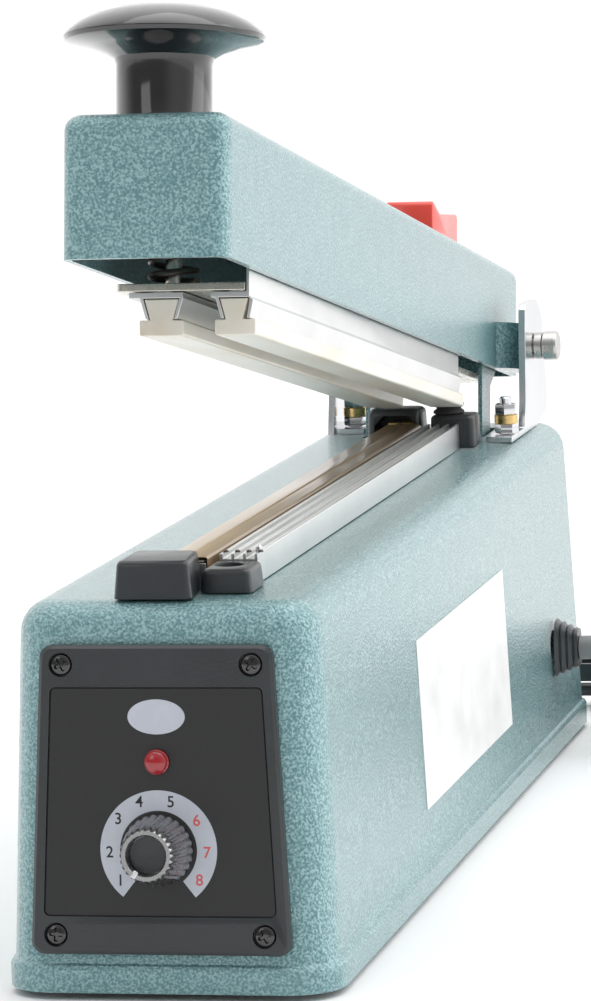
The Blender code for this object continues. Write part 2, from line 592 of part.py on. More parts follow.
# ---------------------------------------------------------------- cutter
def build_cutter(arm, red, black, blade_steel):
    """The red grip rides on the arm and carries the blade down between the two press bars."""
    seat = arm_top(-26.0) + 0.6
    saddle = [(-4.0, seat), (-48.0, seat), (-48.6, 44.0), (-47.6, 45.2), (-46.4, 45.2), (-34.2, 42.2), (-5.6, 45.0),
              (-4.0, 43.6)]
    grip = make("cutter_grip", prism(saddle, "X", -8.0, 8.0), red, arm)
    grip_edges = grip.modifiers.new("soft_edges", "BEVEL")
    grip_edges.width = 0.6 * MM
    grip_edges.segments = 2
    grip_edges.limit_method = "ANGLE"
    cut(grip, box(4.9, 7.5, -37.0, -11.0, seat - 2.0, 38.0), "carriage_socket")
    carriage = [(-36.0, -10.0), (-30.0, -16.0), (-18.0, -16.0), (-12.0, -10.0), (-12.0, 37.6), (-36.0, 37.6)]
    slider = make("cutter_carriage", prism(carriage, "X", 5.1, 6.9), black, arm)
    join(slider, box(4.8, 10.0, -36.0, -12.0, 18.0, 25.6), "guide_block")
    blade = [(-33.0, -4.0), (-33.0, -18.0), (-27.0, -21.2), (-21.0, -18.0), (-21.0, -4.0)]
    make("cutter_blade", prism(blade, "X", BLADE_X - 0.3, BLADE_X + 0.1), blade_steel, arm)


# ---------------------------------------------------------------- mains lead
def cord_route():
    """Route points by hand, out of the gland and down onto the top of the coil beside the body."""
    y = CORD_EXIT.y
    return [tuple(CORD_EXIT), (57.5, y, 34.0), (61.5, y, 33.5), (66.0, y, 32.5), (72.0, y, 30.7), (77.0, y, 28.9), (81.5, y, 27.1)]


def tail_route():
    """From the bottom turn of the coil to the back of the plug, behind the body."""
    y = COIL_CENTRE.y + CORD_OUTER_TURN
    return [(81.7, y, 7.8), (79.0, y, 7.95), (PLUG_REAR_X + GAP, y, 8.0)]


def cord_tube(name, route, finish, machine):
    curve = bpy.data.curves.new(name, "CURVE")
    curve.dimensions = "3D"
    curve.bevel_depth = CORD_RADIUS * MM
    curve.bevel_resolution = 2
    curve.use_fill_caps = True
    line = curve.splines.new("POLY")
    spots = smooth_path(route, 9.0)
    line.points.add(len(spots) - 1)
    for point, spot in zip(line.points, spots):
        point.co = (*(spot * MM), 1.0)
    curve.materials.append(finish)
    cord = bpy.data.objects.new(name, curve)
    bpy.context.collection.objects.link(cord)
    cord.parent = machine


def smooth_path(points, spacing):
    """Catmull-Rom curve through the points, read off about every spacing."""
    knots = [Vector(p) for p in points]
    knots = [knots[0] * 2 - knots[1]] + knots + [knots[-1] * 2 - knots[-2]]
    dense = []
    for a, b, c, d in zip(knots, knots[1:], knots[2:], knots[3:]):
        for i in range(20):
            t = i / 20.0
            dense.append(0.5 * ((2 * b) + (c - a) * t + (2 * a - 5 * b + 4 * c - d) * t * t
                                + (3 * b - a - 3 * c + d) * t * t * t))
    dense.append(knots[-2])
    total = sum((q - p).length for p, q in zip(dense, dense[1:]))
    count = max(2, round(total / spacing))
    step = total / count
    chosen = [dense[0]]
    walked = 0.0
    for p, q in zip(dense, dense[1:]):
        walked += (q - p).length
        if walked >= step * len(chosen) and len(chosen) < count:
            chosen.append(q)
    chosen.append(dense[-1])
    return chosen


def build_cord(machine, grey, black):
    relief = make("strain_relief", soft_box(-6.2, 6.2, -9.6, 9.6, 0.0, 7.6, 4.5, 0.6, 2.2), black, machine,
                  (45.4, CORD_EXIT.y, CORD_EXIT.z))
    relief.rotation_euler = (math.radians(90.0), 0.0, math.radians(90.0))
    cord_tube("power_cord", cord_route(), grey, machine)
    cord_tube("cord_tail", tail_route(), grey, machine)

    inner = COIL_RADIUS - COIL_HALF_WIDTH
    outer = COIL_RADIUS + COIL_HALF_WIDTH
    low = -FOOT_RISE
    section = [(inner, low), (outer, low), (outer, low + COIL_HEIGHT), (inner, low + COIL_HEIGHT)]
    hank = turned(section, 32, closed_ring=True)
    make("cord_coil", hank, grey, machine, (COIL_CENTRE.x, COIL_CENTRE.y, 0.0))

    plug = make("plug", soft_box(-34.0, 0.0, -12.0, 12.0, 0.0, 20.0, 6.0, 1.0, 4.0), black, machine,
                (PLUG_REAR_X, COIL_CENTRE.y + CORD_OUTER_TURN, low))
    pins = box(-51.0, -30.0, -7.2, -5.7, 10.0, 16.3)
    box(-51.0, -30.0, 5.7, 7.2, 10.0, 16.3, pins)
    rod(2.4, -52.0, -30.0, "X", (0.0, 0.0, 6.0), 12, pins)
    join(plug, pins, "plug_pins")


def main():
    clear_scene()
    paint = material("hammertone_paint", (0.20, 0.36, 0.38), 0.35)
    black = material("black_plastic", (0.02, 0.022, 0.022), 0.45)
    gloss = material("black_bakelite", (0.008, 0.008, 0.009), 0.12)
    label = material("printed_label", (0.015, 0.016, 0.017), 0.5)
    rubber = material("black_rubber", (0.015, 0.015, 0.014), 0.8)
    red_lens = material("red_lens", (0.45, 0.01, 0.02), 0.15)
    red_grip = material("red_plastic", (0.85, 0.10, 0.06), 0.4)
    alloy = material("extruded_aluminium", (0.72, 0.72, 0.71), 0.3, 1.0)
    zinc = material("zinc_plate", (0.68, 0.66, 0.6), 0.35, 1.0)
    chrome = material("chrome_plate", (0.8, 0.8, 0.82), 0.1, 1.0)
    steel = material("plain_steel", (0.5, 0.49, 0.47), 0.35, 1.0)
    dark = material("dark_steel", (0.12, 0.11, 0.1), 0.4, 1.0)
    knob_metal = material("knob_metal", (0.35, 0.34, 0.33), 0.3, 1.0)
    brass = material("brass", (0.7, 0.5, 0.2), 0.3, 1.0)
    nichrome = material("nichrome", (0.4, 0.36, 0.32), 0.4, 1.0)
    fibre = material("insulation", (0.7, 0.66, 0.55), 0.8)
    ptfe = material("ptfe_cloth", (0.42, 0.27, 0.14), 0.4)
    silicone = material("silicone_rubber", (0.72, 0.68, 0.6), 0.5)
    iron = material("laminated_iron", (0.2, 0.2, 0.2), 0.5, 1.0)
    copper = material("coil_wrap", (0.55, 0.38, 0.1), 0.6)
    green = material("circuit_board", (0.03, 0.15, 0.05), 0.5)
    grey = material("grey_cord", (0.3, 0.31, 0.3), 0.5)

    machine = empty("machine", (0.0, -MACHINE_MID_Y, FOOT_RISE))
    lean_deg = math.degrees(math.atan2(FRONT_LEAN, BODY_HEIGHT - SHOULDER_RADIUS - SKIRT_HEIGHT))
    foot_of_face = -SKIRT_HEIGHT * math.tan(math.radians(lean_deg))
    face = empty("front_face", (PANEL_X, foot_of_face, 0.0), machine, -lean_deg)
    arm = empty("arm_axis", (0.0, PIVOT_Y, PIVOT_Z), machine, -ARM_OPEN_DEG)

    build_base(machine, face, paint, steel, rubber)
    build_panel(face, black, label, dark, red_lens)
    build_timer(face, knob_metal, steel, black, green)
    build_electrics(machine, iron, copper, black, steel)
    build_deck(machine, alloy, fibre, nichrome, ptfe, black, rubber, brass)
    build_hinge(machine, chrome, steel, dark)
    build_arm(arm, paint, gloss, steel)
    build_press(arm, zinc, alloy, silicone, dark)
    build_cutter(arm, red_grip, black, steel)
    build_cord(machine, grey, black)


main()
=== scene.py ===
"""Looks for the impulse heat sealer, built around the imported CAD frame."""

import json
import math

import bmesh
import bpy
from mathutils import Matrix, Vector
from mathutils.bvhtree import BVHTree

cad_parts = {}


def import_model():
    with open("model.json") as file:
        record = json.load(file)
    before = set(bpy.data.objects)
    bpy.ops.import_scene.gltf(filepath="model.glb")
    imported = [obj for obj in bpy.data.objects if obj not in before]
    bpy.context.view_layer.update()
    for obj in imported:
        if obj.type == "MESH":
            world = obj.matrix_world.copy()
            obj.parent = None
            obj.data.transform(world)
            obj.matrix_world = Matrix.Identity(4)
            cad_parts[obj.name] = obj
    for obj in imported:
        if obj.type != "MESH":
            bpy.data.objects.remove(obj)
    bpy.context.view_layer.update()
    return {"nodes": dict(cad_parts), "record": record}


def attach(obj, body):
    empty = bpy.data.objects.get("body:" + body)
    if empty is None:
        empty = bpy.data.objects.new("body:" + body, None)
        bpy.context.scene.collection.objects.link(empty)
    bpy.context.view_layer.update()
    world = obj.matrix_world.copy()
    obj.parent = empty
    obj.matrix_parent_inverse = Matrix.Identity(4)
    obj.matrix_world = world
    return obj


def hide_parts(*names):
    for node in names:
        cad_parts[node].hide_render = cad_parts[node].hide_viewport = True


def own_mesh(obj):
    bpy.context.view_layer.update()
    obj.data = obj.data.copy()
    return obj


MM = 0.001
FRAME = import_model()
NODES = FRAME["nodes"]

MID_Y = 212.7
RISE = 2.0
PIVOT = Vector((0.0, 407.0, 132.0))
OPEN = math.radians(-10.3)
LEAN = math.radians(-4.958)
DIAL_UP = 39.0  # heights up the leaning front face
LAMP_UP = 62.7
BADGE_UP = 74.8
PLATE_FRONT = -2.80  # front of the legend plate, where the print lies
PANEL_SCREWS = [(-26.2, 88.8), (26.2, 88.8), (-28.9, 16.0), (28.7, 16.0)]
BRACKET_STUDS = {"right": (30.6, 367.0), "left": (-26.6, 394.0)}
SPRING_X, SPRING_LOW, SPRING_TOP = -3.0, -10.3, 26.0  # press springs, in the arm's frame


# ---------------------------------------------------------------- places
def world(x, y, z):
    """A point given in millimetres from the front foot of the body, in the row frame."""
    return Vector((x, y - MID_Y, z + RISE)) * MM


MACHINE = Matrix.Translation(world(0.0, 0.0, 0.0)) @ Matrix.Scale(MM, 4)
ARM = MACHINE @ Matrix.Translation(PIVOT) @ Matrix.Rotation(OPEN, 4, "X")
PANEL_X = -1.1
FACE = MACHINE @ Matrix.Translation((PANEL_X, -7.9 * math.tan(-LEAN), 0.0)) @ Matrix.Rotation(LEAN, 4, "X")


# ---------------------------------------------------------------- camera
def camera():
    azimuth, elevation, roll = math.radians(12.68), math.radians(7.35), math.radians(-2.13)
    look = Vector((-math.sin(azimuth) * math.cos(elevation), math.cos(azimuth) * math.cos(elevation),
                   -math.sin(elevation)))
    right = look.cross(Vector((0.0, 0.0, 1.0))).normalized()
    up = right.cross(look)
    turned_right = math.cos(roll) * right + math.sin(roll) * up
    turned_up = -math.sin(roll) * right + math.cos(roll) * up
    data = bpy.data.cameras.new("camera")
    data.sensor_fit = "VERTICAL"
    data.sensor_height = 36.0
    data.sensor_width = 36.0
    data.lens = 5068.43 * 36.0 / 1001.0
    data.clip_end = 20.0
    cam = bpy.data.objects.new("camera", data)
    bpy.context.collection.objects.link(cam)
    turn = Matrix((turned_right, turned_up, -look)).transposed().to_4x4()
    cam.matrix_world = Matrix.Translation(world(330.8, -1292.6, 304.1)) @ turn
    bpy.context.scene.camera = cam


# ---------------------------------------------------------------- node-tree helpers
class Tree:
    """A small wrapper for building one Principled material."""

    def __init__(self, name):
        self.mat = bpy.data.materials.new(name)
        self.mat.use_nodes = True
        self.nodes = self.mat.node_tree.nodes
        self.links = self.mat.node_tree.links
        self.shader = self.nodes["Principled BSDF"]
        self.coords = self.nodes.new("ShaderNodeTexCoord").outputs["Object"]

    def set(self, **values):
        for key, value in values.items():
            self.shader.inputs[key.replace("_", " ")].default_value = value
        return self

    def node(self, kind, **settings):
        made = self.nodes.new(kind)
        for key, value in settings.items():
            setattr(made, key, value)
        return made

    def link(self, source, target):
        self.links.new(source, target)

    def stretch(self, scale):
        mapping = self.node("ShaderNodeMapping")
        mapping.inputs["Scale"].default_value = scale
        self.link(self.coords, mapping.inputs["Vector"])
        return mapping.outputs["Vector"]

    def noise(self, scale, detail=3.0, rough=0.5, stretch=None):
        made = self.node("ShaderNodeTexNoise")
        made.inputs["Scale"].default_value = scale
        made.inputs["Detail"].default_value = detail
        made.inputs["Roughness"].default_value = rough
        self.link(self.stretch(stretch) if stretch else self.coords, made.inputs["Vector"])
        return made.outputs["Fac"]

    def ramp(self, source, stops):
        made = self.node("ShaderNodeValToRGB")
        ramp = made.color_ramp
        while len(ramp.elements) < len(stops):
            ramp.elements.new(0.5)
        for element, (place, colour) in zip(ramp.elements, stops):
            element.position = place
            element.color = (*colour, 1.0) if isinstance(colour, tuple) else (colour, colour, colour, 1.0)
        self.link(source, made.inputs["Fac"])
        return made.outputs["Color"]

    def math(self, operation, a, b=None):
        made = self.node("ShaderNodeMath", operation=operation)
        for slot, value in zip(made.inputs, (a, b)):
            if value is None:
                continue
            if isinstance(value, (int, float)):
                slot.default_value = value
            else:
                self.link(value, slot)
        return made.outputs[0]

    def mix(self, factor, a, b, kind="MIX"):
        made = self.node("ShaderNodeMix", data_type="RGBA", blend_type=kind)
        for slot, value in ((made.inputs[0], factor), (made.inputs[6], a), (made.inputs[7], b)):
            if isinstance(value, tuple):
                slot.default_value = (*value, 1.0)
            elif isinstance(value, (int, float)):
                slot.default_value = value
            else:
                self.link(value, slot)
        return made.outputs[2]

    def bump(self, height, distance, strength=1.0):
        made = self.node("ShaderNodeBump")
        made.inputs["Strength"].default_value = strength
        made.inputs["Distance"].default_value = distance
        self.link(height, made.inputs["Height"])
        self.link(made.outputs["Normal"], self.shader.inputs["Normal"])
        self.link(made.outputs["Normal"], self.shader.inputs["Coat Normal"])

    def colour(self, source):
        self.link(source, self.shader.inputs["Base Color"])

    def rough(self, source):
        self.link(source, self.shader.inputs["Roughness"])


# ---------------------------------------------------------------- materials
def hammertone():
    """Hammer-finish enamel: worm-like dark teal veins on a pale metallic ground, under clear gloss."""
    t = Tree("hammertone")
    worms = t.noise(1350.0, 1.5, 0.55)
    patches = t.noise(160.0, 2.0, 0.5)
    height = t.math("ADD", worms, t.math("MULTIPLY", patches, 0.12))
    t.colour(t.ramp(height, [(0.45, (0.10, 0.235, 0.255)), (0.57, (0.175, 0.345, 0.365)),
                             (0.70, (0.31, 0.49, 0.51))]))
    t.set(Metallic=0.3, Coat_Weight=1.0, Coat_Roughness=0.14)
    t.rough(t.ramp(height, [(0.4, 0.34), (0.7, 0.46)]))
    t.bump(height, 0.0007, 0.55)
    return t.mat


def plastic(name, colour, roughness, grain=1600.0, depth=0.00004, coat=0.0):
    t = Tree(name)
    cloudy = t.noise(60.0, 4.0, 0.6)
    dark = tuple(c * 0.8 for c in colour)
    light = tuple(min(1.0, c * 1.2 + 0.002) for c in colour)
    t.colour(t.mix(cloudy, dark, light))
    t.rough(t.ramp(cloudy, [(0.3, roughness * 0.85), (0.7, min(1.0, roughness * 1.15))]))
    t.set(Coat_Weight=coat, Coat_Roughness=0.08)
    t.bump(t.noise(grain, 2.0, 0.5), depth, 0.6)
    return t.mat


def metal(name, colour, roughness, stretch=(1.0, 1.0, 1.0), scale=900.0, depth=0.00002, spread=0.25):
    t = Tree(name)
    grain = t.noise(scale, 3.0, 0.6, stretch)
    smudge = t.noise(35.0, 3.0, 0.6)
    dark = tuple(c * 0.82 for c in colour)
    t.colour(t.mix(smudge, dark, colour))
    t.set(Metallic=1.0)
    low, high = roughness * (1.0 - spread), roughness * (1.0 + spread)
    t.rough(t.ramp(grain, [(0.3, low), (0.7, high)]))
    t.bump(grain, depth, 0.7)
    return t.mat


def ptfe():
    """Glass-cloth tape under a waxy gloss: pale along its left edge as a painted highlight, tan in the middle,
    darker brown towards the back.
    """
    t = Tree("ptfe_cloth")
    place = t.node("ShaderNodeSeparateXYZ")
    t.link(t.coords, place.inputs[0])
    # painted highlight: the tape's colour turns paler towards its left edge, standing in for the reflection
    # there
    painted_left_highlight = t.math("MULTIPLY", t.math("ADD", place.outputs["X"], 0.0055), 83.0)
    stain = t.noise(26.0, 4.0, 0.65, (1.0, 0.3, 1.0))
    # darker brown towards the back
    back = t.math("MULTIPLY", t.math("ADD", place.outputs["Y"], 0.17), 1.5)
    # the painted left highlight mixed with real stains
    left_highlight_and_stain = t.math("ADD", t.math("MULTIPLY", painted_left_highlight, 0.55), t.math("MULTIPLY", stain, 0.35))
    mix = t.math("ADD", left_highlight_and_stain, back)
    t.colour(t.ramp(mix, [(0.12, (0.80, 0.76, 0.69)), (0.34, (0.60, 0.47, 0.31)), (0.62, (0.42, 0.29, 0.165)),
                          (1.0, (0.22, 0.145, 0.08))]))
    t.set(Roughness=0.3, Coat_Weight=0.7, Coat_Roughness=0.12)
    t.bump(t.noise(900.0, 2.0, 0.5, (1.0, 0.25, 1.0)), 0.00005, 0.5)
    return t.mat


def silicone():
    t = Tree("silicone")
    stain = t.noise(40.0, 4.0, 0.6, (1.0, 0.3, 1.0))
    t.colour(t.ramp(stain, [(0.3, (0.74, 0.67, 0.54)), (0.6, (0.86, 0.83, 0.75))]))
    t.set(Roughness=0.32, Subsurface_Weight=0.1, Subsurface_Scale=0.002, Coat_Weight=0.3, Coat_Roughness=0.2)
    t.bump(t.noise(500.0, 2.0), 0.00004, 0.5)
    return t.mat


def printed_label():
    t = Tree("printed_label")
    fine = t.noise(1800.0, 2.0, 0.5)
    t.colour(t.mix(fine, (0.012, 0.012, 0.013), (0.02, 0.021, 0.022)))
    t.set(Roughness=0.42)
    t.bump(fine, 0.00002, 0.4)
    return t.mat


def build_materials():
    along = (1.0, 0.03, 1.0)
    return {
        "hammertone_paint": hammertone(),
        "black_plastic": plastic("black_plastic", (0.022, 0.027, 0.03), 0.36, 1400.0, 0.00005, 0.25),
        "black_bakelite": plastic("black_bakelite", (0.006, 0.006, 0.007), 0.1, 500.0, 0.000008, 1.0),
        "printed_label": printed_label(),
        "black_rubber": plastic("black_rubber", (0.014, 0.014, 0.013), 0.7, 1200.0, 0.00008),
        "red_lens": plastic("red_lens", (0.34, 0.006, 0.014), 0.14, 400.0, 0.00001, 0.8),
        "red_plastic": plastic("red_plastic", (0.86, 0.07, 0.045), 0.3, 900.0, 0.00003, 0.5),
        "extruded_aluminium": metal("extruded_aluminium", (0.83, 0.835, 0.83), 0.34, along, 2600.0,
                                    0.000008, 0.08),
        "zinc_plate": metal("zinc_plate", (0.74, 0.71, 0.63), 0.24, (1.0, 0.3, 1.0), 500.0),
        "chrome_plate": metal("chrome_plate", (0.74, 0.75, 0.77), 0.16, (1.0, 1.0, 0.2), 300.0, 0.000008),
        "plain_steel": metal("plain_steel", (0.58, 0.57, 0.55), 0.3, (1.0, 1.0, 1.0), 700.0),
        "dark_steel": metal("dark_steel", (0.14, 0.125, 0.11), 0.36, (1.0, 1.0, 1.0), 800.0),
        "knob_metal": metal("knob_metal", (0.42, 0.42, 0.42), 0.26, (1.0, 1.0, 1.0), 900.0),
        "brass": metal("brass", (0.78, 0.56, 0.24), 0.3),
        "nichrome": metal("nichrome", (0.45, 0.4, 0.34), 0.38, along, 1200.0),
        "insulation": plastic("insulation", (0.62, 0.57, 0.45), 0.8, 1500.0, 0.00005),
        "ptfe_cloth": ptfe(),
        "silicone_rubber": silicone(),
        "laminated_iron": metal("laminated_iron", (0.2, 0.2, 0.2), 0.5, (0.05, 1.0, 0.05), 1600.0, 0.0001),
        "coil_wrap": plastic("coil_wrap", (0.5, 0.34, 0.08), 0.5, 900.0, 0.00005, 0.3),
        "circuit_board": plastic("circuit_board", (0.02, 0.12, 0.04), 0.4, 900.0, 0.00002, 0.4),
        "grey_cord": plastic("grey_cord", (0.22, 0.225, 0.225), 0.42, 1100.0, 0.00004, 0.1),
        "white_label": plastic("white_label", (0.86, 0.87, 0.86), 0.4, 700.0, 0.00001, 0.1),
        "dial_print": plastic("dial_print", (0.50, 0.53, 0.60), 0.45, 1500.0, 0.00001),
        "red_print": plastic("red_print", (0.62, 0.10, 0.09), 0.5, 1500.0, 0.00001),
        "black_print": plastic("black_print", (0.012, 0.012, 0.012), 0.5, 1500.0, 0.00001),
    }


# ---------------------------------------------------------------- mesh helpers
def place(name, bm, finish, body, slot, matrix=MACHINE, smooth_deg=35.0, merge=0.0005):
    """Finish a bmesh in millimetres, put it in the row frame and hang it on a body."""
    if merge:
        bmesh.ops.remove_doubles(bm, verts=bm.verts, dist=merge)
    bmesh.ops.recalc_face_normals(bm, faces=bm.faces)
    bmesh.ops.transform(bm, matrix=matrix, verts=bm.verts)
    mesh = bpy.data.meshes.new(name)
    bm.to_mesh(mesh)
    bm.free()
    mesh.shade_smooth()
    mesh.set_sharp_from_angle(angle=math.radians(smooth_deg))
    mesh.materials.append(finish)
    thing = bpy.data.objects.new(name, mesh)
    bpy.context.collection.objects.link(thing)
    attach(thing, body)
    return thing


def loft(rings, bm=None, caps=True, closed=True):
    bm = bm or bmesh.new()
    loops = [[bm.verts.new(point) for point in ring] for ring in rings]
    count = len(loops[0])
    last = count if closed else count - 1
    for low, high in zip(loops, loops[1:]):
        for i in range(last):
            j = (i + 1) % count
            bm.faces.new((low[i], low[j], high[j], high[i]))
    if caps:
        bm.faces.new(loops[0])
        bm.faces.new(loops[-1])
    return bm


def prism(outline, axis, low, high, bm=None):
    def at(point, along):
        u, v = point
        return {"X": (along, u, v), "Y": (u, along, v), "Z": (u, v, along)}[axis]

    return loft([[at(p, low) for p in outline], [at(p, high) for p in outline]], bm)


def box(x0, x1, y0, y1, z0, z1, bm=None):
    return prism([(x0, y0), (x1, y0), (x1, y1), (x0, y1)], "Z", z0, z1, bm)


def turned(profile, sides=32, axis="Z", centre=(0.0, 0.0, 0.0), bm=None):
    rings = []
    for radius, height in profile:
        loop = []
        for i in range(sides):
            angle = 2.0 * math.pi * i / sides
            u, v = radius * math.cos(angle), radius * math.sin(angle)
            point = {"X": (height, u, v), "Y": (u, height, v), "Z": (u, v, height)}[axis]
            loop.append(Vector(point) + Vector(centre))
        rings.append(loop)
    return loft(rings, bm)


def tube(points, radius, sides=10, bm=None, closed=False):
    """A round wire through points, framed by carrying one normal along it."""
    bm = bm or bmesh.new()
    points = [Vector(p) for p in points]
    count = len(points)
    tangents = []
    for i in range(count):
        before = points[i - 1] if i or closed else points[0]
        after = points[(i + 1) % count] if i < count - 1 or closed else points[-1]
        tangents.append((after - before).normalized())
    normal = tangents[0].orthogonal().normalized()
    rings = []
    for point, tangent in zip(points, tangents):
        normal = (normal - tangent * normal.dot(tangent)).normalized()
        side = tangent.cross(normal)
        rings.append([point + radius * (math.cos(2 * math.pi * k / sides) * normal
                                        + math.sin(2 * math.pi * k / sides) * side) for k in range(sides)])
    return loft(rings, bm)


def coil_spring(radius, wire, low, high, turns, centre, axis="Z", flat_ends=0.75, sides=8):
    """A wound spring whose end turns lie closer together."""
    steps = int(turns * 20)
    points = []
    for i in range(steps + 1):
        t = i / steps
        turn = t * turns
        rise_turns = turns - 2.0 * flat_ends
        lift = min(max((turn - flat_ends) / rise_turns, 0.0), 1.0)
        slack = 0.15 * (min(turn, flat_ends) - min(turns - turn, flat_ends)) / flat_ends
        share = min(max(lift * 0.9 + 0.05 + slack * 0.3, 0.0), 1.0)
        height = low + wire + (high - low - 2 * wire) * share
        angle = 2.0 * math.pi * turn
        u, v = radius * math.cos(angle), radius * math.sin(angle)
        point = {"X": (height, u, v), "Y": (u, height, v), "Z": (u, v, height)}[axis]
        points.append(Vector(point) + Vector(centre))
    return tube(points, wire, sides)


# ---------------------------------------------------------------- CAD pieces with finer edges
COARSE = {"timer_knob", "pilot_lamp", "panel_screw_1", "panel_screw_2", "panel_screw_3", "panel_screw_4",
          "press_spring_front", "press_spring_rear", "return_spring", "bracket_bolt_left", "bracket_bolt_right",
          "power_cord", "cord_coil", "cord_tail", "strain_relief"}
EDGE_MM = {"base_housing": 0.5, "arm_shell": 0.5, "front_terminal_cover": 0.9, "front_rail_cap": 0.9,
           "rear_terminal_cover": 0.9, "rear_rail_cap": 0.9, "plug": 0.8, "ptfe_cover": 0.5, "front_panel": 0.4,
           "silicone_strip_left": 0.3, "silicone_strip_right": 0.3, "press_frame": 0.35, "pivot_bolt": 0.4}


def refine(name, finish, body):
    """The CAD piece with its flats merged, small round edges and smooth shading on what is round."""
    source = NODES[name]
    bm = bmesh.new()
    bm.from_mesh(source.data)
    bmesh.ops.remove_doubles(bm, verts=bm.verts, dist=2e-6)
    bmesh.ops.dissolve_limit(bm, angle_limit=math.radians(0.6), verts=bm.verts, edges=bm.edges)
    mesh = bpy.data.meshes.new(name + "_fine")
    bm.to_mesh(mesh)
    bm.free()
    mesh.materials.clear()
    mesh.materials.append(finish)
    mesh.shade_smooth()
    mesh.set_sharp_from_angle(angle=math.radians(32.0))
    thing = bpy.data.objects.new(name + "_fine", mesh)
    bpy.context.collection.objects.link(thing)
    edge = thing.modifiers.new("soft_edges", "BEVEL")
    edge.width = EDGE_MM.get(name, 0.15) * MM
    edge.segments = 2
    edge.limit_method = "ANGLE"
    edge.angle_limit = math.radians(32.0)
    edge.harden_normals = False
    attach(thing, body)
    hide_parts(name)


def surface_at(name, origin, direction):
    """Where a ray from origin, in millimetres of the machine, meets a CAD piece, in the same millimetres."""
    mesh = NODES[name].data
    corners = [v.co.copy() for v in mesh.vertices]
    tree = BVHTree.FromPolygons(corners, [tuple(p.vertices) for p in mesh.polygons])
    hit = tree.ray_cast(MACHINE @ Vector(origin), Vector(direction))[0]
    return MACHINE.inverted() @ hit


# ---------------------------------------------------------------- screws and nuts
def phillips_head(radius, height, sides=48, rings=12):
    """A pan head on z = 0 with a cross recess, its dome towards +z."""
    bm = bmesh.new()
    loops = []
    for k in range(rings + 1):
        share = 1.0 - k / (rings + 0.6)
        loop = []
        for i in range(sides):
            angle = 2.0 * math.pi * i / sides
            x, y = radius * share * math.cos(angle), radius * share * math.sin(angle)
            z = height * math.sqrt(max(0.0, 1.0 - (0.93 * share) ** 3.0))
            along, aside = max(abs(x), abs(y)), min(abs(x), abs(y))
            if along < 0.62 * radius and aside < 0.15 * radius:
                z -= 0.65 * height
            loop.append((x, y, z))
        loops.append(loop)
    base = [(radius * math.cos(2 * math.pi * i / sides), radius * math.sin(2 * math.pi * i / sides), 0.0)
            for i in range(sides)]
    return loft([base] + loops, bm)


def facing_front(x, up, depth):
    """Matrix for a head that stands on the front face and looks out of it."""
    return FACE @ Matrix.Translation((x, depth, up)) @ Matrix.Rotation(math.radians(90.0), 4, "X")


def hexagon(across_flats, z0, z1, centre, turn=0.0, bm=None):
    """A nut with lightly chamfered ends."""
    r = across_flats / math.sqrt(3.0)

    def ring(radius, z):
        corners = [turn + math.pi * k / 3 for k in range(6)]
        return [(centre[0] + radius * math.cos(a), centre[1] + radius * math.sin(a), z) for a in corners]

    return loft([ring(r * 0.93, z0), ring(r, z0 + 0.4), ring(r, z1 - 0.4), ring(r * 0.93, z1)], bm)


def build_screws(mats):
    for number, (x, up) in enumerate(PANEL_SCREWS, 1):
        turned_in = facing_front(x, up, -1.8) @ Matrix.Rotation(0.5 * number, 4, "Z")
        head = place("panel_screw_%d_head" % number, phillips_head(2.9, 1.25), mats["black_bakelite"], "base",
                     "black_bakelite", turned_in, 50.0, 0.0)
        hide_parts("panel_screw_%d" % number)
    for side, (x, y) in BRACKET_STUDS.items():
        nut = hexagon(6.6, 107.0, 110.2, (x, y), 0.2)
        hexagon(6.6, 113.2, 116.8, (x, y), 0.55, nut)
        turned([(2.0, 110.0), (2.0, 118.7), (1.4, 119.2)], 20, "Z", (x, y, 0.0), nut)
        nuts = place("bracket_nuts_" + side, nut, mats["chrome_plate"], "base", "chrome_plate")
        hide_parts("bracket_bolt_" + side)
        place("lock_washer_" + side,
              turned([(2.2, 110.3), (3.9, 110.3), (3.9, 113.1), (2.2, 113.1)], 28, "Z", (x, y, 0.0)),
              mats["brass"], "base", "brass")
    for side, x in (("left", -4.6), ("right", 16.4)):
        down = ARM @ Matrix.Translation((x, -366.0, -12.85)) @ Matrix.Rotation(math.pi, 4, "X")
        place("press_screw_" + side, phillips_head(3.3, 1.6), mats["chrome_plate"], "press", "chrome_plate",
              down, 50.0, 0.0)


# ---------------------------------------------------------------- control panel
def build_timer_knob(mats):
    """Knurled, tapered, with a thin bright rim round a hollow, a black disc in the hollow as painted shade, and
    a pointer nub.
    """
    ridges, fine = 26, 8
    profile = [(9.1, -3.4, 0.0), (9.6, -4.2, 0.25), (9.2, -5.6, 0.42), (7.5, -14.6, 0.36), (7.1, -16.5, 0.3),
               (6.7, -17.2, 0.0), (5.7, -17.2, 0.0), (5.35, -16.8, 0.0), (5.2, -13.7, 0.0), (0.4, -13.7, 0.0)]
    rings = []
    for radius, depth, knurl in profile:
        loop = []
        for i in range(ridges * fine):
            angle = 2.0 * math.pi * i / (ridges * fine)
            r = radius + knurl * (abs(math.cos(0.5 * ridges * angle)) * 1.6 - 1.0)
            loop.append((r * math.cos(angle), depth, r * math.sin(angle)))
        rings.append(loop)
    at = FACE @ Matrix.Translation((0.0, 0.0, DIAL_UP))
    knob = place("timer_knob_fine", loft(rings), mats["knob_metal"], "timer", "knob_metal", at, 40.0)
    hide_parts("timer_knob")
    # a black disc laid in the knob's hollow as painted shade
    place("timer_knob_shade_disc", turned([(5.1, -13.9), (5.1, -14.2), (0.3, -14.1)], 48, "Y"),
                   mats["black_plastic"], "timer", "black_plastic", at)
    pointer = box(-0.75, 0.75, -17.75, -13.9, -6.9, -4.7)
    lower_left = Matrix.Rotation(math.radians(32.0), 3, "Y")
    bmesh.ops.rotate(pointer, cent=(0, 0, 0), matrix=lower_left, verts=pointer.verts)
    nub = place("timer_pointer", pointer, mats["chrome_plate"], "timer", "chrome_plate", at)
    soften(nub, 0.3)


